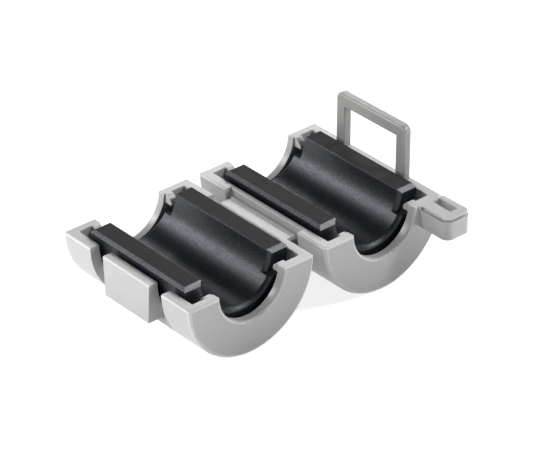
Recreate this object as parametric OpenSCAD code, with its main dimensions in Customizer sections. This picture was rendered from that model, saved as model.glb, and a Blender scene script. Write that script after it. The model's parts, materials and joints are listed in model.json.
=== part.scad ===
// Clip-on ferrite bead: a two-shell moulded case on a folding strap, a ferrite half core in each
// shell, a latch frame on the lid and a catch on the base. Drawn open and flat, in millimetres.
// X runs from the base shell to the lid shell, Y along the cable away from the tie ear, Z up.

/* [Shells] */
// Width across one shell, also its outer diameter
body_w = 23.8; // [21:0.1:32]
// Length of a shell along the cable
body_l = 29.1; // [24:0.1:40]
// Side wall between the trough and the outside
side_wall = 1.8; // [1.4:0.1:2.2]
// End wall behind each cable cut-out
end_wall = 1.5; // [1:0.1:2.2]
// Rounding of the outer end edges
edge_r = 0.5; // [0.3:0.1:0.8]
// Rounding of the rims' outer edges and the mouths of the cable cut-outs
rim_r = 0.4; // [0.2:0.1:0.6]
// Gap between the open shells at the rims
shell_gap = 2.2; // [1.8:0.1:4]

/* [Ferrite cores] */
// Bore through the closed cores
bore_d = 12.4; // [8:0.2:13.4]
// How far the mating faces stand above the rims while open
core_proud = 1.25; // [0.6:0.05:1.6]
// Clearance from the core's round back to the trough
core_play = 0.35; // [0.25:0.05:0.6]
// Clearance from each end of the core to the end wall
core_end_play = 0.75; // [0.4:0.05:1.2]
// How much shorter than the core the mating bars are, at each end
bar_setback = 1.35; // [1.1:0.05:1.8]
// Chamfer on the end edges of the core
end_chamfer = 0.6; // [0.2:0.05:0.8]
// Chamfer along the outer edges of the mating bars
side_chamfer = 0.45; // [0.2:0.05:0.7]
// Broken edge between the bore and the mating faces
bore_break = 0.12; // [0.05:0.01:0.2]

/* [Core hooks] */
// Width of a hook
hook_w = 1.25; // [0.8:0.05:1.8]
// Reach of a hook in from the end wall
hook_reach = 1.5; // [1.1:0.1:1.6]
// Depth of a hook's underside below the rim
hook_h = 1.6; // [1.3:0.1:2.2]
// Gap from a hook's underside to the core's ledge
hook_play = 0.6; // [0.25:0.05:0.9]
// Step from the side of a cable cut-out to the nearest hook
hook_step = 0.25; // [0.1:0.05:0.5]

/* [Folding strap] */
// Thickness of the strap
strap_t = 0.8; // [0.5:0.1:1]
// Length of the strap along the cable
strap_l = 14.4; // [8:0.2:18]
// Thickness left at the strap's two fold grooves
web_t = 0.4; // [0.25:0.05:0.6]
// Gap from each end of the strap to the end of its recess
strap_end_gap = 1; // [0.3:0.1:1.5]
// Depth of the recess in each shell's side that takes the strap
recess_d = 1; // [0.8:0.05:1.2]
// Room in the recess below the strap
recess_foot = 0.6; // [0.2:0.1:1.5]
// Running clearance round the strap's rounded edges
strap_play = 0.05; // [0.03:0.01:0.1]
// Gap between the rims when closed
rim_gap = 0.2; // [0.1:0.05:0.4]

/* [Catch] */
// Width of the catch at the rim
catch_w = 10.7; // [8:0.1:12]
// How much each side of the catch draws in towards its foot
catch_taper = 0.3; // [0:0.05:0.5]
// Height of the catch from the rim to its hooked foot
catch_h = 6.7; // [5:0.1:7.5]
// How far the catch's outer face lies inside the shell's side
catch_inset = 0.15; // [0:0.05:0.3]
// Depth of the leg channels from the side of the shell
channel_d = 2.6; // [2.3:0.1:2.9]

/* [Latch frame] */
// Thickness of the frame
frame_t = 1.5; // [1:0.1:1.6]
// Width of a leg
leg_w = 1.95; // [1.4:0.05:2.4]
// Height of the crossbar
bar_h = 2.1; // [1.4:0.1:2.6]
// Rounding of the frame's outer corners
frame_r = 1.1; // [0.5:0.1:1.4]
// How far the frame's outer face lies inside the shell's side
frame_inset = 0.3; // [0.1:0.05:0.4]
// Clearance from a leg to the side of the catch
leg_play = 0.4; // [0.25:0.05:0.6]
// Clearance from a leg to the far side of its channel
channel_play = 0.5; // [0.3:0.05:0.7]
// Clearance under the catch when latched
latch_play = 0.2; // [0.15:0.05:0.4]

/* [Tie ear] */
// Length of the ear beyond the end wall
ear_l = 6.3; // [5.4:0.1:9]
// Width of the ear
ear_w = 5.1; // [4.5:0.05:5.2]
// Depth of the ear below the rim
ear_h = 3.5; // [2:0.1:5]
// Rounding of the ear's corners
ear_r = 1.4; // [0.6:0.1:1.6]
// Height of the collar round the slot, with its groove
collar_h = 0.5; // [0.3:0.1:0.8]
// Step from the ear's edge to the collar
collar_step = 0.35; // [0.1:0.05:0.5]
// Height of the groove under the collar
groove_h = 0.25; // [0.1:0.05:0.4]
// Depth of the groove in from the collar's edge
groove_d = 0.25; // [0.05:0.05:0.4]
// Length of the tie slot along the cable
slot_l = 3.85; // [2.5:0.05:4.2]
// Width of the tie slot
slot_w = 1.4; // [0.8:0.1:1.8]
// Wall between the slot and the side of the ear
slot_side = 1.1; // [0.9:0.1:1.4]
// Gap between the slot and the end wall of the shell
slot_back = 0.35; // [0.2:0.05:0.8]

/* [Hidden] */
$fn = 96;
eps = 0.01;

body_r = body_w / 2;
pitch = body_w + shell_gap;          // between the shells' axes
mid_y = ear_l / 2;                   // the shells' middle, with the whole part centred
rim_z = body_r;                      // rims above the table
trough_r = body_r - side_wall;
inner_l = body_l - 2 * end_wall;

bore_r = bore_d / 2;
cable_r = bore_r - 0.1;              // cut-outs keep a cable off the edges of the ferrite
core_r = trough_r - core_play;
core_l = inner_l - 2 * core_end_play;
bars_l = core_l - 2 * bar_setback;
ledge_depth = core_proud + hook_h + hook_play;   // below the mating face
hook_x = cable_r + hook_step + hook_w / 2;

fold_a = shell_gap / 2 + recess_d - strap_play - strap_t / 2;   // fold lines from the middle
fold_d = fold_a - rim_gap / 2;                                  // and below the rims
recess_l = strap_l + 2 * strap_end_gap;
recess_h = fold_d + strap_t / 2 + recess_foot;

window_w = catch_w + 2 * leg_play;
window_h = catch_h + latch_play + rim_gap;
frame_w = window_w + 2 * leg_w;
frame_h = window_h + bar_h;
frame_x = body_r - frame_inset - frame_t;
channel_out = frame_w / 2 + channel_play;

nylon = [0.78, 0.78, 0.76];
nylon_dark = [0.62, 0.62, 0.6];
ferrite = [0.2, 0.2, 0.21];

// Cylinder lying along Y, centred
module y_rod(r, l) {
    rotate([90, 0, 0]) cylinder(r = r, h = l, center = true);
}

// Profile in Y and Z drawn out along X, starting at x = 0
module along_x(l) {
    rotate([90, 0, 90]) linear_extrude(l) children();
}

// Profile in X and Z drawn out along Y, centred
module along_y(l) {
    rotate([90, 0, 0]) linear_extrude(l, center = true) children();
}

// Rectangle under y = 0 with its two top corners rounded
module round_top(w, h, r) {
    translate([-w / 2, -h]) square([w, h - r]);
    translate([r - w / 2, -h]) square([w - 2 * r, h]);
    for (x = [-1, 1]) translate([x * (w / 2 - r), -r]) circle(r);
}

// Cylinder along Y with rounded end edges
module round_rod(r, l, e) {
    rotate([90, 0, 0]) translate([0, 0, -l / 2]) rotate_extrude() {
        square([r - e, l]);
        translate([0, e]) square([r, l - 2 * e]);
        for (z = [e, l - e]) translate([r - e, z]) circle(e);
    }
}

// Cutter along Y with flared mouths at both ends of a length l
module flared_rod(r, l, e) {
    rotate([90, 0, 0]) translate([0, 0, -l / 2 - 1]) rotate_extrude() difference() {
        square([r + e, l + 2]);
        translate([r, 1 + e]) square([e + 1, l - 2 * e]);
        for (z = [1 + e, l + 1 - e]) translate([r + e, z]) circle(e);
    }
}

// Hook on an end wall: the wall's face is at y = 0 and the hook reaches towards +Y
module hook() {
    translate([-hook_w / 2, 0, 0]) along_x(hook_w) polygon([
        [-end_wall / 2, 0], [0.3 * hook_reach, 0], [0.92 * hook_reach, -0.55 * hook_h],
        [hook_reach, -0.8 * hook_h], [0.92 * hook_reach, -hook_h], [-end_wall / 2, -hook_h]]);
}

// Recess for the strap in a shell's +X side, with a rounded upper edge
module strap_recess() {
    r = rim_r;
    translate([body_r - recess_d, 0, 0]) along_y(recess_l) {
        translate([0, -recess_h]) square([recess_d + 1, recess_h + 1]);
        difference() {
            translate([-r, -r]) square([r + eps, r + 1]);
            translate([-r, -r]) circle(r);
        }
    }
}

// Shell with trough, cable cut-outs, strap recess and core hooks, rim at z = 0.
// The strap is at +X for hinge_side 1 and at -X for hinge_side -1.
module shell(hinge_side) {
    difference() {
        intersection() {
            round_rod(body_r, body_l, edge_r);
            along_y(body_l + 2) round_top(body_w, body_r + 1, rim_r);
            translate([-body_r - 1, 0, 0]) along_x(body_w + 2)
                round_top(body_l, body_r + 1, rim_r);
        }
        y_rod(trough_r, inner_l);
        flared_rod(cable_r, body_l, rim_r);
        mirror([hinge_side < 0 ? 1 : 0, 0, 0]) strap_recess();
    }
    for (sx = [-1, 1], flip = [0, 1])
        mirror([0, flip, 0]) translate([sx * hook_x, -inner_l / 2, 0]) hook();
}

// Pocket for the latch frame, with the catch standing in its middle
module latch_pocket() {
    translate([-body_r - 1, -channel_out, -body_r - 1])
        cube([channel_d + 1, 2 * channel_out, body_r + 2]);
}

// Upright catch plate, open to the trough behind it
module catch() {
    depth = channel_d + 0.6;
    difference() {
        intersection() {
            translate([-body_r, 0, 0]) along_x(depth) polygon([
                [-catch_w / 2, 0], [catch_w / 2, 0],
                [catch_w / 2 - catch_taper, -catch_h], [catch_taper - catch_w / 2, -catch_h]]);
            translate([catch_inset - body_r + depth, 0, 0])
                along_y(catch_w + 1) round_top(2 * depth, catch_h + 1, 0.75 * rim_r);
        }
        y_rod(trough_r, inner_l);
    }
}

// Outline of the ear seen from above, drawn in by step on its inner and front edges
module ear_outline(step) {
    x0 = body_r - ear_w + step;
    y0 = -body_l / 2 - ear_l + step;
    r = ear_r - step / 2;
    w = body_r - x0;
    l = ear_l - step;
    translate([x0, y0]) {
        translate([0, r]) square([w, l - r]);
        translate([r, 0]) square([w - 2 * r, l]);
        for (x = [r, w - r]) translate([x, r]) circle(r);
    }
}

// Tie ear with a grooved collar and a slot
module tie_ear() {
    back = -body_l / 2;
    difference() {
        union() {
            translate([0, 0, -ear_h]) linear_extrude(ear_h - collar_h) ear_outline(0);
            translate([0, 0, -ear_h / 2]) linear_extrude(ear_h / 2)
                ear_outline(collar_step + groove_d);
            translate([0, 0, groove_h - collar_h]) linear_extrude(collar_h - groove_h)
                ear_outline(collar_step);
            // root that ties the ear into the end wall
            translate([body_r - ear_w, back - rim_r, -ear_h])
                cube([ear_w - edge_r - rim_r, end_wall / 2 + rim_r, ear_h]);
        }
        translate([body_r - slot_side - slot_w, back - slot_back - slot_l, -ear_h - 1])
            cube([slot_w, slot_l, ear_h + 2]);
    }
}

module case_base() {
    color(nylon) translate([-pitch / 2, mid_y, rim_z]) {
        difference() {
            shell(1);
            latch_pocket();
        }
        catch();
    }
}

module case_lid() {
    color(nylon) translate([pitch / 2, mid_y, rim_z]) {
        shell(-1);
        tie_ear();
    }
}

// Flat strap with rounded edges on the fold lines and a thinned web beside each
module hinge_strap() {
    notch = (strap_t - web_t) / 2;
    web_x = fold_a - strap_t / 2 - notch / 2;
    color(nylon) translate([0, mid_y, rim_z - fold_d]) difference() {
        along_y(strap_l) {
            square([2 * fold_a, strap_t], center = true);
            for (x = [-fold_a, fold_a]) translate([x, 0]) circle(strap_t / 2);
        }
        for (sx = [-1, 1], sz = [-1, 1])
            translate([sx * web_x, 0, sz * strap_t / 2]) along_y(strap_l + 1) polygon([
                [-1.5 * notch, sz * eps], [1.5 * notch, sz * eps],
                [0.5 * notch, -sz * notch], [-0.5 * notch, -sz * notch]]);
    }
}

// Loop that stands on the lid's far rim and closes under the catch
module latch_frame() {
    color(nylon_dark) translate([pitch / 2 + frame_x, mid_y, rim_z]) along_x(frame_t)
        difference() {
            translate([0, frame_h]) round_top(frame_w, frame_h, frame_r);
            translate([-window_w / 2, -1]) square([window_w, window_h + 1]);
        }
}

// Ring of ferrite along Y; outer is the chamfer on the end edges of its round back
module core_ring(l, outer) {
    rotate([90, 0, 0]) translate([0, 0, -l / 2]) rotate_extrude() polygon([
        [bore_r, end_chamfer], [bore_r + end_chamfer, 0], [core_r - outer, 0],
        [core_r, outer], [core_r, l - outer], [core_r - outer, l],
        [bore_r + end_chamfer, l], [bore_r, l - end_chamfer]]);
}

// Half core, mating face at z = 0: a full-length back and two shorter bars above the ledges
module half_core() {
    big = 2 * core_r + 2;
    intersection() {
        core_ring(core_l, end_chamfer);
        translate([-big / 2, -core_l, -big]) cube([big, 2 * core_l, big - ledge_depth]);
    }
    difference() {
        intersection() {
            core_ring(bars_l, eps);
            translate([-big / 2, 0, 0]) along_x(big) polygon([
                [-bars_l / 2, -big], [-bars_l / 2, -end_chamfer], [end_chamfer - bars_l / 2, 0],
                [bars_l / 2 - end_chamfer, 0], [bars_l / 2, -end_chamfer], [bars_l / 2, -big]]);
            along_y(core_l) polygon([
                [-core_r, -big], [-core_r, -side_chamfer], [side_chamfer - core_r, 0],
                [core_r - side_chamfer, 0], [core_r, -side_chamfer], [core_r, -big]]);
        }
        along_y(core_l) polygon([
            [-bore_r - bore_break, eps], [bore_r + bore_break, eps],
            [bore_r + bore_break, 0], [bore_r, -bore_break],
            [-bore_r, -bore_break], [-bore_r - bore_break, 0]]);
    }
}

module ferrite_core_base() {
    color(ferrite) translate([-pitch / 2, mid_y, rim_z + core_proud]) half_core();
}

module ferrite_core_lid() {
    color(ferrite) translate([pitch / 2, mid_y, rim_z + core_proud]) half_core();
}

case_base();
hinge_strap();
case_lid();
latch_frame();
ferrite_core_base();
ferrite_core_lid();
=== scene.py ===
# %% [markdown]
# # A clip-on ferrite bead, lying open
# The real object is a moulded nylon case in two halves on a folding strap, with a grey-black ferrite
# half core in each half. It clips round a cable and closes with a latch loop over a catch.
# The solids come from the CAD frame. They could be used as they are, but their edges are perfectly
# sharp and their surfaces have no finish. So each of them is copied here, the copy's edges are
# softened, and it gets the material of the real piece. Camera, table and light come around that.

# %% Load the frame
import json
import math

import bmesh
import bpy
from mathutils import Matrix, Vector

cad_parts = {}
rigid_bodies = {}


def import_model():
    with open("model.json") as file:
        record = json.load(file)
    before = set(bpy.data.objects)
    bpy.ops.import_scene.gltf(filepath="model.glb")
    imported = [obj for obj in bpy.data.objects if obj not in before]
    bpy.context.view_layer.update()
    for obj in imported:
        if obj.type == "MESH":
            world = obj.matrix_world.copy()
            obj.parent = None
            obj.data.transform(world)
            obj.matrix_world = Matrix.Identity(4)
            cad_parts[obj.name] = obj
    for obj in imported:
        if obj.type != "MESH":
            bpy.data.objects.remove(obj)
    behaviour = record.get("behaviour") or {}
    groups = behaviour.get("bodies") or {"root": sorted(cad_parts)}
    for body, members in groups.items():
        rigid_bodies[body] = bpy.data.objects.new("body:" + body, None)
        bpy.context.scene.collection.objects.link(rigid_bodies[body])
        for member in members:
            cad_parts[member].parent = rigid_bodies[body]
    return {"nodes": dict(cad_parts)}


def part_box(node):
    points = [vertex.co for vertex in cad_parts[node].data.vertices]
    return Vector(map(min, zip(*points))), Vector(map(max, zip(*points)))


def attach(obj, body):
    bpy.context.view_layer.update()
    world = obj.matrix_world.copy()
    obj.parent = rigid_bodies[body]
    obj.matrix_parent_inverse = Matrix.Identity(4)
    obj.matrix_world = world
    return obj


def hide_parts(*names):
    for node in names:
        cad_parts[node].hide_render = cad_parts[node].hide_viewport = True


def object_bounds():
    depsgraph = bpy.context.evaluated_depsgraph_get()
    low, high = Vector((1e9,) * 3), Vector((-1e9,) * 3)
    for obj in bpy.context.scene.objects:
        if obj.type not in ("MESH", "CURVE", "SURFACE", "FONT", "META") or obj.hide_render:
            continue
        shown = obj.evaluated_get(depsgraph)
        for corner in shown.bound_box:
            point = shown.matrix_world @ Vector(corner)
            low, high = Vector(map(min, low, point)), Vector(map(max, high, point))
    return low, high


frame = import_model()
cad_low, cad_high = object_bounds()
mm = 0.001
print("CAD box, mm:", [round(v / mm, 2) for v in (*cad_low, *cad_high)])

# %% [markdown]
# ## The camera
# A long lens from about half a metre keeps the two halves nearly parallel, as in a catalogue
# picture. The camera circles a point between the shells at the height of their rims. Its place
# follows from two angles and a distance, and a small turn of the head puts the part a little to the
# left of the middle and a little above it. Turning is better than shifting the lens, because a
# shift would stay on in every other view.

# %% Place and aim the camera
shell_low, shell_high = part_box("case_base")
rim_height = shell_high.z
between_shells = Vector((0, (shell_low.y + shell_high.y) / 2, rim_height))

camera_azimuth = -40.816
camera_elevation = 31.383
camera_distance = 459.033 * mm
lens_length = 205.0
sensor_width = 36.0
nearest_seen = 10 * mm
farthest_seen = 10.0
turn_right = math.radians(0.278)
turn_down = math.radians(0.227)


def towards(azimuth, elevation):
    """The direction in which something stands, by its azimuth and elevation in degrees.

    Azimuth 0 is in front of the part, and 90 is on its right.
    """
    around = math.radians(azimuth)
    up = math.radians(elevation)
    return Vector((
        math.sin(around) * math.cos(up),
        -math.cos(around) * math.cos(up),
        math.sin(up)))


towards_camera = towards(camera_azimuth, camera_elevation)
bpy.ops.object.camera_add(location=between_shells + camera_distance * towards_camera)
camera = bpy.context.object
camera.name = "catalogue_camera"
camera.data.lens = lens_length
camera.data.sensor_width = sensor_width
camera.data.clip_start = nearest_seen
camera.data.clip_end = farthest_seen
straight = (-towards_camera).to_track_quat("-Z", "Y").to_matrix()
head_turn = Matrix.Rotation(-turn_right, 3, "Y") @ Matrix.Rotation(-turn_down, 3, "X")
camera.rotation_euler = (straight @ head_turn).to_euler()
bpy.context.scene.camera = camera
print("camera at, mm:", [round(v / mm, 1) for v in camera.location])

# %% [markdown]
# ## A softened copy of a solid
# No moulded or pressed edge is a knife edge. A fraction of a millimetre of rounding catches the
# light as a thin bright line, and without it a picture looks computed. A live Bevel modifier on the
# whole solid would also bite into the short edges of the small fillets, so the copy is bevelled in
# edit mode, and on chosen edges only: those that are sharp, and long enough to carry the round.
# A solid arrives as loose triangles. The copy's corners are merged first, and triangles that lie
# in one plane are dissolved into one face, so that the bevel runs along real edges.

# %% Copy a solid and merge its corners
merge_distance = 0.002 * mm
flat_within = math.radians(0.3)


def select_only(thing):
    """Selects one object and nothing else, and makes it the active one."""
    bpy.ops.object.select_all(action="DESELECT")
    thing.select_set(True)
    bpy.context.view_layer.objects.active = thing


def merged_copy(node, name):
    """A copy of a CAD solid with its corners merged and its flat faces whole.

    It sheds the solid's own notes and its parent, so that it can be a piece in its own right.
    """
    select_only(frame["nodes"][node])
    bpy.ops.object.duplicate()
    piece = bpy.context.object
    for key in list(piece.keys()):
        del piece[key]
    bpy.ops.object.parent_clear(type="CLEAR_KEEP_TRANSFORM")
    piece.name = name
    piece.data.name = name
    bpy.ops.object.mode_set(mode="EDIT")
    bpy.ops.mesh.select_all(action="SELECT")
    bpy.ops.mesh.customdata_custom_splitnormals_clear()
    bpy.ops.mesh.remove_doubles(threshold=merge_distance)
    bpy.ops.mesh.dissolve_limited(angle_limit=flat_within)
    bpy.ops.object.mode_set(mode="OBJECT")
    return piece


def give_finishes(piece, *finishes):
    """Replaces whatever materials a copy came with."""
    piece.data.materials.clear()
    for finish in finishes:
        piece.data.materials.append(finish)


print("corners closer than", round(merge_distance / mm, 3), "mm are merged")

# %% Soften chosen edges
sharp_above = math.radians(40)
shortest_edge = 0.28 * mm


def long_and_sharp(edge):
    """True for an edge that a mould or a press would leave as a real corner."""
    return edge.calc_face_angle() > sharp_above and edge.calc_length() > shortest_edge


def soften_edges(piece, radius, segments, chosen=long_and_sharp):
    """Bevels the chosen edges of a merged copy and says how many it took."""
    select_only(piece)
    bpy.ops.object.mode_set(mode="EDIT")
    bpy.ops.mesh.select_mode(type="EDGE")
    bpy.ops.mesh.select_all(action="DESELECT")
    mesh = bmesh.from_edit_mesh(piece.data)
    taken = [edge for edge in mesh.edges if len(edge.link_faces) == 2 and chosen(edge)]
    for edge in taken:
        edge.select_set(True)
    print(f"{piece.name}: {len(taken)} edges softened by {radius / mm:.2f} mm")
    bmesh.update_edit_mesh(piece.data)
    bpy.ops.mesh.bevel(offset=radius, segments=segments, affect="EDGES", clamp_overlap=False)
    bpy.ops.object.mode_set(mode="OBJECT")


print("edges above", round(math.degrees(sharp_above)), "degrees and",
      round(shortest_edge / mm, 2), "mm are softened")

# %% [markdown]
# ## Painted edge highlights
# Tight outer rounds catch the light and show a thin light line round every rim. Here that line is
# painted: the narrow faces along those rounds get a paler grey, a painted highlight. A bevel can
# hand its faces a material of their own, but the rounds that come with the solid would be missed.
# So every narrow face is asked how much the surface turns outward there. Its width over its turn
# is the radius of the round that it belongs to, and a small one means a tight outer edge.

# %% Measure a face
def width_of(face):
    """The width of a long narrow face: its area over its longest edge."""
    return face.calc_area() / max(edge.calc_length() for edge in face.edges)


def height_of(face):
    """How far a face reaches up and down."""
    heights = [corner.co.z for corner in face.verts]
    return max(heights) - min(heights)


def outward_turn(face):
    """The angle by which the surface turns outward across a face, less what it turns inward."""
    turn = 0
    middle = face.calc_center_median()
    for edge in face.edges:
        for other in edge.link_faces:
            across = other.calc_center_median() - middle
            change = other.normal - face.normal
            turn += math.copysign(face.normal.angle(other.normal), change.dot(across))
    return turn


print("a face is measured by its width, its height and its outward turn")

# %% Measure what a face borders on
# EDGE is the slot of the painted edge highlight, a paler grey on tight outer rounds.
BODY = 0
EDGE = 1


def painted_highlight_share(face):
    """The share of a face's outline that borders on faces with the painted edge highlight."""
    outline = sum(edge.calc_length() for edge in face.edges)
    shared = 0
    for edge in face.edges:
        for other in edge.link_faces:
            if other is not face and other.material_index == EDGE:
                shared += edge.calc_length()
    return shared / outline


print("material slots: body", BODY, "and edge", EDGE)

# %% [markdown]
# ### Sorting the narrow faces
# One test isn't enough. A wide round corner that stands upright is also made of narrow faces, and
# it isn't an edge, so upright faces above a given height stay as they are. Two last passes tidy up:
# a sliver between faces that were taken joins them, and a sliver that was taken on its own, in the
# middle of a smooth wall, is let go.

# %% Paint a highlight on the tight outer rounds
widest_strip = 0.40 * mm
least_turn = math.radians(14)
largest_round = 0.36 * mm
upright_below = 0.1
tallest_strip = 1.2 * mm
mostly_enclosed = 0.6
mostly_alone = 0.2


def paint_edge_highlights(piece, tallest):
    """Gives the narrow faces along tight outer rounds the painted edge highlight, and says how many.

    Upright faces above the tallest height are left out, because they belong to a wide corner.
    """
    mesh = bmesh.new()
    mesh.from_mesh(piece.data)
    narrow = []
    for face in mesh.faces:
        upright = abs(face.normal.z) < upright_below and height_of(face) > tallest
        width = width_of(face)
        if width < widest_strip and not upright:
            narrow.append(face)
            turn = outward_turn(face)
            if turn > least_turn and width / turn < largest_round:
                face.material_index = EDGE

    left_out = [face for face in narrow if face.material_index != EDGE]
    for face in [face for face in left_out if painted_highlight_share(face) > mostly_enclosed]:
        face.material_index = EDGE

    taken = [face for face in narrow if face.material_index == EDGE]
    for face in [face for face in taken if painted_highlight_share(face) < mostly_alone]:
        face.material_index = BODY

    # Count the faces that now carry the painted edge highlight.
    lightened = sum(face.material_index == EDGE for face in mesh.faces)
    mesh.to_mesh(piece.data)
    mesh.free()
    print(f"{piece.name}: {lightened} narrow faces carry the edge finish")


# The strips below are the painted edge highlight.
print("a rubbed strip is up to", round(widest_strip / mm, 2), "mm wide and turns at least",
      round(math.degrees(least_turn)), "degrees")

# %% [markdown]
# ## Shading, and standing for a solid
# A curve should look smooth and a corner crisp, and a flat face should stay flat right up to its
# rounded edge. Smooth shading by angle does the first two, and weighted normals do the third. Then
# the piece takes the solid's place: it rides on the same body and hides the plain node.

# %% Shade a piece and let it stand for its node
smooth_below = math.radians(32)
pull_of_large_faces = 100


def finish_shading(piece):
    """Smooth curves, crisp corners, and flat faces that shade flat beside their soft edges."""
    select_only(piece)
    bpy.ops.object.shade_smooth_by_angle(angle=smooth_below)
    bpy.ops.object.modifier_add(type="WEIGHTED_NORMAL")
    weighted = piece.modifiers[-1]
    weighted.keep_sharp = True
    weighted.weight = pull_of_large_faces
    bpy.ops.object.modifier_apply(modifier=weighted.name)


def stands_for(piece, node, body):
    """The piece rides on the node's body and hides the node."""
    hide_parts(node)
    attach(piece, body)
    print(f"{piece.name} stands for {node} and rides on {body}")


print("edges under", round(math.degrees(smooth_below)), "degrees are shaded smooth")

# %% [markdown]
# ## Materials
# All finishes are procedural and read Object coordinates, so they stay with a piece when it moves.
# Pictures of plastic and stone would also do, but they need unwrapping and show seams. A few small
# functions build what the finishes share: noise at a real size, a colour, a number and a bump.

# %% Start a material and its noise
usual_detail = 4.0
usual_roughness = 0.55


def new_material(name):
    """A new material: itself, its nodes and links, its shader, and the place on the piece."""
    material = bpy.data.materials.new(name)
    material.use_nodes = True
    nodes = material.node_tree.nodes
    links = material.node_tree.links
    shader = nodes["Principled BSDF"]
    place = nodes.new("ShaderNodeTexCoord")
    return material, nodes, links, shader, place.outputs["Object"]


def noise_of_size(nodes, links, place, grain, detail=usual_detail, roughness=usual_roughness):
    """Noise whose blotches are about `grain` metres across."""
    noise = nodes.new("ShaderNodeTexNoise")
    noise.inputs["Scale"].default_value = 1 / grain
    noise.inputs["Detail"].default_value = detail
    noise.inputs["Roughness"].default_value = roughness
    links.new(place, noise.inputs["Vector"])
    return noise.outputs["Fac"]


print("noise: detail", usual_detail, "and roughness", usual_roughness, "unless a finish sets its own")

# %% Turn noise into a colour, a number and a bump
noise_low = 0.3
noise_high = 0.7


def ramp_between(nodes, links, value, low, high, low_colour, high_colour):
    """Maps a noise value to a colour between two."""
    ramp = nodes.new("ShaderNodeValToRGB")
    ramp.color_ramp.elements[0].position = low
    ramp.color_ramp.elements[0].color = (*low_colour, 1)
    ramp.color_ramp.elements[1].position = high
    ramp.color_ramp.elements[1].color = (*high_colour, 1)
    links.new(value, ramp.inputs["Fac"])
    return ramp.outputs["Color"]


def range_between(nodes, links, value, low, high):
    """Maps a noise value to a number between two."""
    spread = nodes.new("ShaderNodeMapRange")
    spread.inputs["From Min"].default_value = noise_low
    spread.inputs["From Max"].default_value = noise_high
    spread.inputs["To Min"].default_value = low
    spread.inputs["To Max"].default_value = high
    links.new(value, spread.inputs["Value"])
    return spread.outputs["Result"]


def bump_from(nodes, links, shader, height, depth):
    """A bump of about `depth` metres from a noise value."""
    bump = nodes.new("ShaderNodeBump")
    bump.inputs["Distance"].default_value = depth
    bump.inputs["Strength"].default_value = 1.0
    links.new(height, bump.inputs["Height"])
    links.new(bump.outputs["Normal"], shader.inputs["Normal"])


print("noise is spread from", noise_low, "to", noise_high, "before it sets a number")

# %% [markdown]
# ### Moulded nylon
# The case is cool light-grey nylon from a finely blasted mould: satin, with a very fine grain and a
# hardly visible drift of tone where the melt met itself. The strap is a thin web of the same melt,
# painted paler: a painted sheen for the gloss on its flat top. The latch loop is a shade darker and a
# little warmer. The painted edge highlights are the same plastics, only lighter. One function makes
# them all, so that they differ in colour and in gloss only.
# The grain could be a deep bump, but on a part this small it would turn to glitter. It stays a
# thousandth of a millimetre deep, and the roughness drifts between two close values. None of them
# is under 0.28, because the noise filter of a render leaves specks on smoother plastic.

# %% Make the nylon
drift_size = 7 * mm
drift_detail = 3
drift_low = 0.35
drift_high = 0.65
drift_darker = 0.98
drift_lighter = 1.015
nylon_blotch = 1.2 * mm
nylon_grain = 0.10 * mm
nylon_grain_detail = 1
nylon_grain_depth = 0.001 * mm
nylon_shine = 0.5
smoothest_nylon = 0.285


def moulded_nylon(name, colour, roughest):
    """Satin plastic of one colour, whose roughness drifts up to the roughest value."""
    material, nodes, links, shader, place = new_material(name)
    drift = noise_of_size(nodes, links, place, drift_size, drift_detail)
    lighter = [min(1, c * drift_lighter) for c in colour]
    darker = [c * drift_darker for c in colour]
    links.new(ramp_between(nodes, links, drift, drift_low, drift_high, darker, lighter),
              shader.inputs["Base Color"])
    blotch = noise_of_size(nodes, links, place, nylon_blotch)
    links.new(range_between(nodes, links, blotch, smoothest_nylon, roughest),
              shader.inputs["Roughness"])
    shader.inputs["Specular IOR Level"].default_value = nylon_shine
    grain = noise_of_size(nodes, links, place, nylon_grain, nylon_grain_detail)
    bump_from(nodes, links, shader, grain, nylon_grain_depth)
    print(f"{name}: colour {colour}, roughness {smoothest_nylon} to {roughest}")
    return material


case_grey = (0.60, 0.61, 0.60)
# The strap's paler grey is a painted sheen for the gloss on its flat top.
strap_sheen_grey = (0.70, 0.71, 0.70)
latch_grey = (0.39, 0.383, 0.373)
# The two edge greys are painted highlights for the light line that tight outer rounds catch.
case_highlight_grey = (0.85, 0.86, 0.84)
latch_highlight_grey = (0.50, 0.495, 0.485)
case_nylon = moulded_nylon("case_nylon", case_grey, roughest=0.32)
strap_painted_sheen_nylon = moulded_nylon("strap_painted_sheen_nylon", strap_sheen_grey, roughest=0.30)
latch_nylon = moulded_nylon("latch_nylon", latch_grey, roughest=0.32)
case_edge_highlight = moulded_nylon("case_painted_edge_highlight", case_highlight_grey, roughest=0.30)
latch_edge_highlight = moulded_nylon("latch_painted_edge_highlight", latch_highlight_grey, roughest=0.30)

# %% [markdown]
# ### Ferrite
# Ferrite is pressed from powder, fired, and ground flat on the mating faces only. So one core shows
# four finishes. The ground face is matt and faintly brown. The pressed skin of the bore and the
# back is blue-black with a satin sheen. The long chamfers are rough and chip into grey grains. The
# chamfers at the ends are painted paler still, as painted light for the light that they catch.
# All four could be one speckled colour, but the bore's sparkle is gloss and not paint: each grain
# is a tiny mirror or a dull spot. So one noise drives the colour and the bump of each finish, and
# in the pressed skin it drives the shine too. The other three have an even shine.

# %% Write the recipe for ferrite
ferrite_blotch = 0.9 * mm
ferrite_detail = 5
ferrite_coarseness = 0.7
middle_of_noise = 0.5
cool_mirror = (0.86, 0.91, 1.0, 1)


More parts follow.
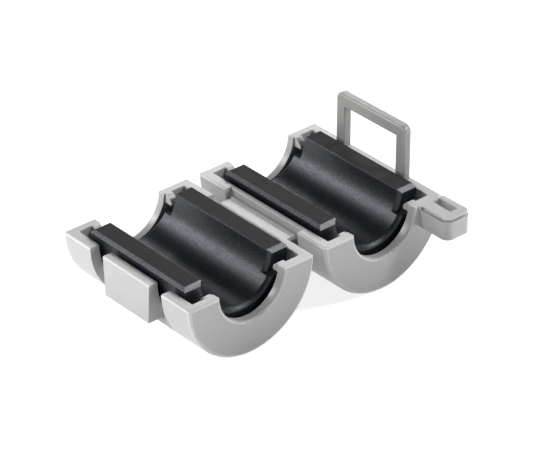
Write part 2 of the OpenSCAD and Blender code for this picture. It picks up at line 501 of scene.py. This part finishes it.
def ferrite_finish(name, dark, light, grain, speckle, smoothest, roughest, depth, shine,
                   sparkle=0):
    """Speckled ferrite, with grains of a given size and depth in metres.

    A small speckle makes hard spots, and the sparkle is how far the shine varies both ways.
    """
    material, nodes, links, shader, place = new_material(name)
    grains = noise_of_size(nodes, links, place, grain, ferrite_detail, ferrite_coarseness)
    darkest_at = middle_of_noise - speckle / 2
    lightest_at = middle_of_noise + speckle / 2
    links.new(ramp_between(nodes, links, grains, darkest_at, lightest_at, dark, light),
              shader.inputs["Base Color"])
    blotch = noise_of_size(nodes, links, place, ferrite_blotch)
    links.new(range_between(nodes, links, blotch, smoothest, roughest),
              shader.inputs["Roughness"])
    shader.inputs["Specular IOR Level"].default_value = shine
    if sparkle > 0:
        links.new(range_between(nodes, links, grains, shine - sparkle, shine + sparkle),
                  shader.inputs["Specular IOR Level"])
    shader.inputs["Specular Tint"].default_value = cool_mirror
    bump_from(nodes, links, shader, grains, depth)
    print(f"{name}: grains {grain / mm:.2f} mm across and {depth / mm:.3f} mm deep")
    return material


print("ferrite: its roughness changes over about", round(ferrite_blotch / mm, 1), "mm")

# %% Make the four ferrite finishes
ground_ferrite = ferrite_finish(
    "ground_ferrite",
    dark=(0.034, 0.030, 0.031), light=(0.046, 0.042, 0.043),
    grain=0.12 * mm, speckle=0.4, smoothest=0.58, roughest=0.68,
    depth=0.004 * mm, shine=0.15)
pressed_ferrite = ferrite_finish(
    "pressed_ferrite",
    dark=(0.006, 0.0068, 0.0095), light=(0.020, 0.0225, 0.031),
    grain=0.24 * mm, speckle=0.30, smoothest=0.33, roughest=0.40,
    depth=0.028 * mm, shine=0.525, sparkle=0.225)
chipped_ferrite = ferrite_finish(
    "chipped_ferrite",
    dark=(0.05, 0.05, 0.056), light=(0.21, 0.21, 0.23),
    grain=0.20 * mm, speckle=0.28, smoothest=0.6, roughest=0.75,
    depth=0.03 * mm, shine=0.4)
# The end chamfers are painted about three times paler than the side ones: painted light for the light
# that they catch.
end_chamfer_painted_light = ferrite_finish(
    "end_chamfer_painted_light",
    dark=(0.22, 0.22, 0.24), light=(0.62, 0.62, 0.66),
    grain=0.20 * mm, speckle=0.28, smoothest=0.6, roughest=0.75,
    depth=0.03 * mm, shine=0.4)

# %% [markdown]
# ## The shells and the strap
# Both shells and the strap are softened copies of their solids. The big rounds at the rims and the
# cut-outs are in the solids already, so this only takes the edge off what is left. A larger round
# would swallow the thin steps beside the ear and the latch, and a smaller one wouldn't be seen.

# %% Soften the shells and the strap
mould_edge = 0.15 * mm
moulded = {
    "case_base": ("base_shell", "base", case_nylon),
    "case_lid": ("lid_shell", "lid", case_nylon),
    "hinge_strap": ("folding_strap", "strap", strap_painted_sheen_nylon),
}
for node, (name, body, finish) in moulded.items():
    piece = merged_copy(node, name)
    give_finishes(piece, finish, case_edge_highlight)
    soften_edges(piece, mould_edge, segments=3)
    # The narrow faces along tight outer rounds get the painted edge highlight.
    paint_edge_highlights(piece, tallest_strip)
    finish_shading(piece)
    stands_for(piece, node, body)

# %% [markdown]
# ## The latch loop
# The loop is a thick moulded ring that a thumb pushes over the catch, and its outer edges are
# rounded far more than those of the case. One bevel all round would close up the window's corners,
# so the outer edges get a large round and the window's edges a small one, each in its own pass.
# The edges at the feet stay sharp, because there the loop grows out of its shell.

# %% Tell the loop's edges apart
loop_low, loop_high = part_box("latch_frame")
loop_leg = 1.95 * mm
loop_bar = 2.1 * mm
hair = 0.01 * mm
faces_sideways = 0.99


def on_loop_face(edge):
    """True for an edge round the loop's front or back face, clear of its feet."""
    flat = [face for face in edge.link_faces if abs(face.normal.x) > faces_sideways]
    above_feet = max(corner.co.z for corner in edge.verts) > loop_low.z + hair
    return len(flat) == 1 and above_feet


def inside_window(edge):
    """True for an edge whose middle is clear of the loop's legs' and bar's outer edges."""
    middle = (edge.verts[0].co + edge.verts[1].co) / 2
    from_side = min(middle.y - loop_low.y, loop_high.y - middle.y)
    from_top = loop_high.z - middle.z
    return from_side > loop_leg - hair and from_top > loop_bar - hair


def outer_edge(edge):
    """True for an edge round the outside of the loop."""
    return on_loop_face(edge) and not inside_window(edge)


def window_edge(edge):
    """True for an edge round the loop's window."""
    return on_loop_face(edge) and inside_window(edge)


loop_height = loop_high.z - loop_low.z
print("latch loop:", round(loop_height / mm, 2), "mm high, with legs of",
      round(loop_leg / mm, 2), "mm and a bar of", round(loop_bar / mm, 2), "mm")

# %% Round the latch loop
outer_round = 0.38 * mm
window_round = 0.18 * mm
loop = merged_copy("latch_frame", "latch_loop")
give_finishes(loop, latch_nylon, latch_edge_highlight)
soften_edges(loop, outer_round, segments=5, chosen=outer_edge)
soften_edges(loop, window_round, segments=3, chosen=window_edge)
# The narrow faces along the loop's tight outer rounds get the painted edge highlight.
paint_edge_highlights(loop, loop_height)
finish_shading(loop)
stands_for(loop, "latch_frame", "latch")

# %% [markdown]
# ## The ferrite cores
# A half core is a pressed and fired half tube. Painting its finishes on by hand would be slow, and
# they follow its shape anyway. So a face takes its finish by where it is: flat on top is ground, the
# bore and the back are pressed skin, and what slopes beside the top is a chamfer, chipped along the
# sides and painted paler at the two ends as painted light. Its edges break rather than wear, so their
# round is very small.

# %% Sort a core's faces
bore_radius = 6.2 * mm
clear_of_bore = 0.2 * mm
chamfer_depth = 0.62 * mm
ground_depth = 0.02 * mm
ground_above = 0.98
slope_lowest = 0.3
slope_highest = 0.95
faces_an_end = 0.4
GROUND = 0
PRESSED = 1
CHIPPED = 2
PALE_END = 3


def core_finish(face, high, axis_x):
    """The finish of a core's face, by where it is and which way it looks."""
    depth = high.z - face.center.z
    from_axis = abs(face.center.x - axis_x)
    slopes = slope_lowest < face.normal.z < slope_highest
    if face.normal.z > ground_above and depth < ground_depth:
        return GROUND
    if slopes and depth < chamfer_depth and from_axis > bore_radius + clear_of_bore:
        # An end chamfer takes the paler colour as painted light, a side chamfer the chipped grey.
        return PALE_END if abs(face.normal.y) > faces_an_end else CHIPPED
    return PRESSED


def sort_core_faces(piece, node):
    """Gives each face of a core its finish, and says how many took each."""
    low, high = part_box(node)
    axis_x = (low.x + high.x) / 2
    counts = [0, 0, 0, 0]
    for face in piece.data.polygons:
        face.material_index = core_finish(face, high, axis_x)
        counts[face.material_index] += 1
    print(f"{piece.name}: {counts[GROUND]} ground, {counts[PRESSED]} pressed, "
          f"{counts[CHIPPED]} chipped and {counts[PALE_END]} rubbed faces")


print("bore radius, mm:", round(bore_radius / mm, 2))

# %% Soften the cores
core_edge = 0.05 * mm
for side in ("base", "lid"):
    node = f"ferrite_core_{side}"
    core = merged_copy(node, f"{side}_half_core")
    give_finishes(core, ground_ferrite, pressed_ferrite, chipped_ferrite, end_chamfer_painted_light)
    soften_edges(core, core_edge, segments=1)
    finish_shading(core)
    sort_core_faces(core, node)
    stands_for(core, node, f"core_{side}")

# %% [markdown]
# ## The table
# The part lies on white paper that fills the view. Paper that is only lit would come out grey, and
# enough light to make it white would bleach the part. So the paper glows a little, on top of the
# lamps' light, which leaves room for the part's own shadow. It is a thin sheet, a hair below the
# part, so that the two never share a face.

# %% Lay the table
table_size = 3.0
table_gap = 0.02 * mm
bpy.ops.mesh.primitive_plane_add(size=table_size, location=(0, 0, cad_low.z - table_gap))
table = bpy.context.object
table.name = "white_table"
print("table at", round(table.location.z / mm, 2), "mm")

# %% [markdown]
# ### What is seen, and what only lights
# A glow that is the same for every ray would also light the part from all round, and wash out the
# shade on its walls. A material can ask what kind of ray has met it, so the paper shows one
# strength to the camera and in gloss, and another to scattered light.

# %% Tell seen rays from light
def seen_directly(nodes, links):
    """One for a ray from the camera or from a gloss or glass surface, and zero for light."""
    path = nodes.new("ShaderNodeLightPath")
    seen = path.outputs["Is Camera Ray"]
    for other in ("Is Glossy Ray", "Is Transmission Ray"):
        either = nodes.new("ShaderNodeMath")
        either.operation = "MAXIMUM"
        links.new(seen, either.inputs[0])
        links.new(path.outputs[other], either.inputs[1])
        seen = either.outputs["Value"]
    return seen


print("seen directly: rays from the camera, from gloss and through glass")

# %% [markdown]
# ### The glow as light
# For scattered light the paper glows more weakly, and not at all close to the part. That way the
# walls are lit from below along the table, as by a bright sweep of paper, and darken towards their
# feet. An oval that follows the part does this more softly than a cut-out in the sheet.

# %% Let the glow rise around the part
glow_as_light = 0.60
dark_half_length = 34 * mm
dark_half_depth = 27 * mm
glow_starts = 0.85
glow_is_full = 1.25


def glow_around_part(nodes, links, place):
    """Zero on an oval under the part, rising to the full glow outside it."""
    stretch = nodes.new("ShaderNodeMapping")
    stretch.inputs["Scale"].default_value = (1 / dark_half_length, 1 / dark_half_depth, 0)
    links.new(place, stretch.inputs["Vector"])
    from_part = nodes.new("ShaderNodeVectorMath")
    from_part.operation = "LENGTH"
    links.new(stretch.outputs["Vector"], from_part.inputs[0])
    rise = nodes.new("ShaderNodeMapRange")
    rise.interpolation_type = "SMOOTHSTEP"
    rise.inputs["From Min"].default_value = glow_starts
    rise.inputs["From Max"].default_value = glow_is_full
    rise.inputs["To Min"].default_value = 0.0
    rise.inputs["To Max"].default_value = glow_as_light
    links.new(from_part.outputs["Value"], rise.inputs["Value"])
    return rise.outputs["Result"]


print("the glow rises from", round(glow_starts * dark_half_length / mm), "to",
      round(glow_is_full * dark_half_length / mm), "mm to the side of the middle")

# %% Mix the paper
paper_white = 0.70
paper_roughness = 0.9
paper_shine = 0.1
glow_seen = 0.80
paper, nodes, links, shader, place = new_material("white_paper")
shader.inputs["Base Color"].default_value = (paper_white, paper_white, paper_white, 1)
shader.inputs["Roughness"].default_value = paper_roughness
shader.inputs["Specular IOR Level"].default_value = paper_shine
glow_strength = nodes.new("ShaderNodeMix")
links.new(seen_directly(nodes, links), glow_strength.inputs["Factor"])
links.new(glow_around_part(nodes, links, place), glow_strength.inputs["A"])
glow_strength.inputs["B"].default_value = glow_seen
glow = nodes.new("ShaderNodeEmission")
links.new(glow_strength.outputs["Result"], glow.inputs["Strength"])
both = nodes.new("ShaderNodeAddShader")
links.new(shader.outputs["BSDF"], both.inputs[0])
links.new(glow.outputs["Emission"], both.inputs[1])
links.new(both.outputs["Shader"], nodes["Material Output"].inputs["Surface"])
paper.cycles.emission_sampling = "NONE"
table.data.materials.append(paper)
print("paper: glow", glow_seen, "as seen and up to", glow_as_light, "as light")

# %% [markdown]
# ## The lamps
# One huge lamp overhead would be simplest, but the case is all flat faces, and each of them would
# then be one flat tone. Six small soft lamps each do one job:
# - the left lamp is close and low, so that the long walls are bright and fall off to the right;
# - the back panel lights tops and left walls, and gives the bores their long highlight;
# - the back window stands where the tops and rims mirror it, and gives the satin its sheen;
# - the softbox on the right lights what faces away from the camera;
# - the fill in front and the lamp at the front right lift the end walls and the loop.

# %% Hang the lamps
def soft_lamp(name, azimuth, elevation, distance, wide, high, power):
    """A soft lamp that looks at the part: angles in degrees, sizes in metres, power in watts."""
    towards_lamp = towards(azimuth, elevation)
    bpy.ops.object.light_add(type="AREA", location=between_shells + distance * towards_lamp)
    lamp = bpy.context.object
    lamp.name = name
    lamp.data.shape = "RECTANGLE"
    lamp.data.size = wide
    lamp.data.size_y = high
    lamp.data.energy = power
    lamp.rotation_euler = (-towards_lamp).to_track_quat("-Z", "Y").to_euler()
    brightness = power / (math.pi * distance) ** 2
    print(f"{name}: {distance / mm:.0f} mm away, {brightness:.2f} on a white face turned to it")


soft_lamp("left_lamp", azimuth=-104, elevation=6, distance=0.13, wide=0.04, high=0.03, power=0.047)
soft_lamp("back_panel", azimuth=-141, elevation=25, distance=0.50, wide=0.16, high=0.16, power=1.02)
soft_lamp("back_window", azimuth=140, elevation=31, distance=0.30, wide=0.08, high=0.08, power=0.11)
soft_lamp("right_softbox", azimuth=100, elevation=30, distance=0.50, wide=0.18, high=0.18, power=0.85)
soft_lamp("front_fill", azimuth=-4, elevation=16, distance=0.50, wide=0.18, high=0.18, power=0.05)
soft_lamp("front_right", azimuth=46, elevation=39, distance=0.30, wide=0.06, high=0.06, power=0.35)

# %% [markdown]
# ## The room
# Between the lamps a gloss surface mirrors the room. A plain white world would wash over every
# slope, so the room is white at eye level and dims towards the ceiling, as with white walls under a
# dark roof. The camera sees it plain white, and as light it gives only a trace.

# %% Paint the walls and the ceiling
wall_top = 0.10
ceiling_from = 0.60
wall_brightness = 1.0
ceiling_brightness = 0.08


def room_as_seen(nodes, links):
    """White walls that dim towards the ceiling, and plain white for the camera.

    A height here is the upward share of a direction: 0 is level, and 1 is straight up.
    """
    room_place = nodes.new("ShaderNodeTexCoord")
    parts = nodes.new("ShaderNodeSeparateXYZ")
    links.new(room_place.outputs["Generated"], parts.inputs["Vector"])
    dim = nodes.new("ShaderNodeMapRange")
    dim.interpolation_type = "SMOOTHSTEP"
    dim.inputs["From Min"].default_value = wall_top
    dim.inputs["From Max"].default_value = ceiling_from
    dim.inputs["To Min"].default_value = wall_brightness
    dim.inputs["To Max"].default_value = ceiling_brightness
    links.new(parts.outputs["Z"], dim.inputs["Value"])
    path = nodes.new("ShaderNodeLightPath")
    brighter = nodes.new("ShaderNodeMath")
    brighter.operation = "MAXIMUM"
    links.new(dim.outputs["Result"], brighter.inputs[0])
    links.new(path.outputs["Is Camera Ray"], brighter.inputs[1])
    return brighter.outputs["Value"]


print("walls are white up to", round(math.degrees(math.asin(wall_top))),
      "degrees, and the ceiling starts at", round(math.degrees(math.asin(ceiling_from))))

# %% Make the room
room_light = 0.03
white = (1, 1, 1, 1)
room = bpy.data.worlds.new("pale_room")
bpy.context.scene.world = room
room.use_nodes = True
nodes = room.node_tree.nodes
links = room.node_tree.links
lit_room = nodes["Background"]
lit_room.inputs["Color"].default_value = white
lit_room.inputs["Strength"].default_value = room_light
seen_room = nodes.new("ShaderNodeBackground")
seen_room.inputs["Color"].default_value = white
links.new(room_as_seen(nodes, links), seen_room.inputs["Strength"])
mix = nodes.new("ShaderNodeMixShader")
links.new(seen_directly(nodes, links), mix.inputs["Fac"])
links.new(lit_room.outputs["Background"], mix.inputs[1])
links.new(seen_room.outputs["Background"], mix.inputs[2])
links.new(mix.outputs["Shader"], nodes["World Output"].inputs["Surface"])
bpy.context.scene.view_settings.view_transform = "Standard"
print("room: light", room_light, "and seen as white")
